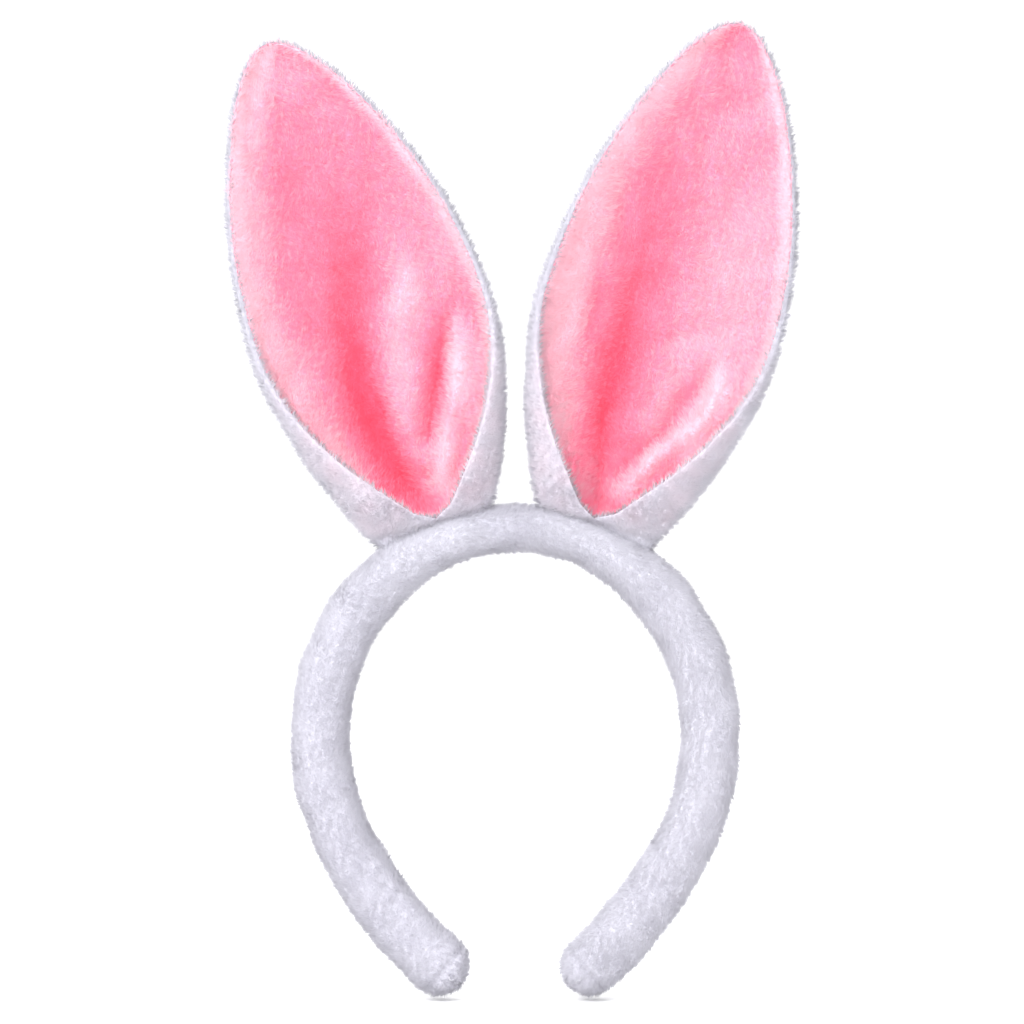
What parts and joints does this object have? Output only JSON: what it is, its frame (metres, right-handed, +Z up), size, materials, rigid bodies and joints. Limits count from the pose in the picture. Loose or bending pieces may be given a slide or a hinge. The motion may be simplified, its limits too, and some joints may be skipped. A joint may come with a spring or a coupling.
{
  "type": "animal ears headband",
  "caption": "Padded plush headband with upright wired rabbit ears that rock at the root and fold forward, on a springy C-shaped band worn over the head.",
  "frame": {"origin": "middle of the crown's inner face, where the band rests on top of the head", "axes": "+Z up out of the head, towards the ears; -Y the way the wearer faces; +X towards the right ear as seen from the front"},
  "size_m": [0.1812, 0.0313, 0.3088],
  "materials": {
    "white_plush": "matte",
    "pink_plush": "matte",
    "sponge": "matte",
    "batting": "matte",
    "core_plastic": "satin",
    "wire": "satin",
    "white_thread": "satin",
    "pink_thread": "satin"
  },
  "bodies": {
    "crown": {"core_crown": "core_plastic", "cover_crown": "white_plush", "foam_crown": "sponge", "left_ear_root_stitch": "white_thread", "right_ear_root_stitch": "white_thread", "seam_crown": "white_thread"},
    "left_arm": {"core_left_arm": "core_plastic", "cover_left_arm": "white_plush", "end_stitch_left": "white_thread", "foam_left_arm": "sponge", "seam_left_arm": "white_thread"},
    "right_arm": {"core_right_arm": "core_plastic", "cover_right_arm": "white_plush", "end_stitch_right": "white_thread", "foam_right_arm": "sponge", "seam_right_arm": "white_thread"},
    "left_ear": {"left_ear_back_lower": "white_plush", "left_ear_edge_seam_inner_leg": "pink_thread", "left_ear_edge_seam_outer_leg": "pink_thread", "left_ear_fill_lower": "batting", "left_ear_front_lower": "pink_plush", "left_ear_wire_inner_leg": "wire", "left_ear_wire_outer_leg": "wire"},
    "right_ear": {"right_ear_back_lower": "white_plush", "right_ear_edge_seam_inner_leg": "pink_thread", "right_ear_edge_seam_outer_leg": "pink_thread", "right_ear_fill_lower": "batting", "right_ear_front_lower": "pink_plush", "right_ear_wire_inner_leg": "wire", "right_ear_wire_outer_leg": "wire"},
    "left_ear_tip": {"left_ear_back_upper": "white_plush", "left_ear_edge_seam_loop": "pink_thread", "left_ear_fill_upper": "batting", "left_ear_front_upper": "pink_plush", "left_ear_wire_loop": "wire"},
    "right_ear_tip": {"right_ear_back_upper": "white_plush", "right_ear_edge_seam_loop": "pink_thread", "right_ear_fill_upper": "batting", "right_ear_front_upper": "pink_plush", "right_ear_wire_loop": "wire"}
  },
  "joints": [
    {"name": "left_arm_flex", "type": "hinge", "parent": "crown", "child": "left_arm", "pos_m": [-0.05093, 0, -0.01888], "axis": [0, 1, 0], "range_deg": [-6, 25], "stiffness_Nm_per_rad": 0.25},
    {"name": "right_arm_flex", "type": "hinge", "parent": "crown", "child": "right_arm", "pos_m": [0.05093, 0, -0.01888], "axis": [0, -1, 0], "range_deg": [-6, 25], "stiffness_Nm_per_rad": 0.25},
    {"name": "left_ear_rock", "type": "hinge", "parent": "crown", "child": "left_ear", "pos_m": [-0.02483, 0, 0.00362], "axis": [1, 0, 0], "range_deg": [-25, 25]},
    {"name": "right_ear_rock", "type": "hinge", "parent": "crown", "child": "right_ear", "pos_m": [0.02483, 0, 0.00362], "axis": [1, 0, 0], "range_deg": [-25, 25]},
    {"name": "left_ear_fold", "type": "hinge", "parent": "left_ear", "child": "left_ear_tip", "pos_m": [-0.05081, -0.0045, 0.09188], "axis": [0.9593, 0, 0.2823], "range_deg": [0, 85]},
    {"name": "right_ear_fold", "type": "hinge", "parent": "right_ear", "child": "right_ear_tip", "pos_m": [0.05081, -0.0045, 0.09188], "axis": [0.9593, 0, -0.2823], "range_deg": [0, 85]}
  ]
}
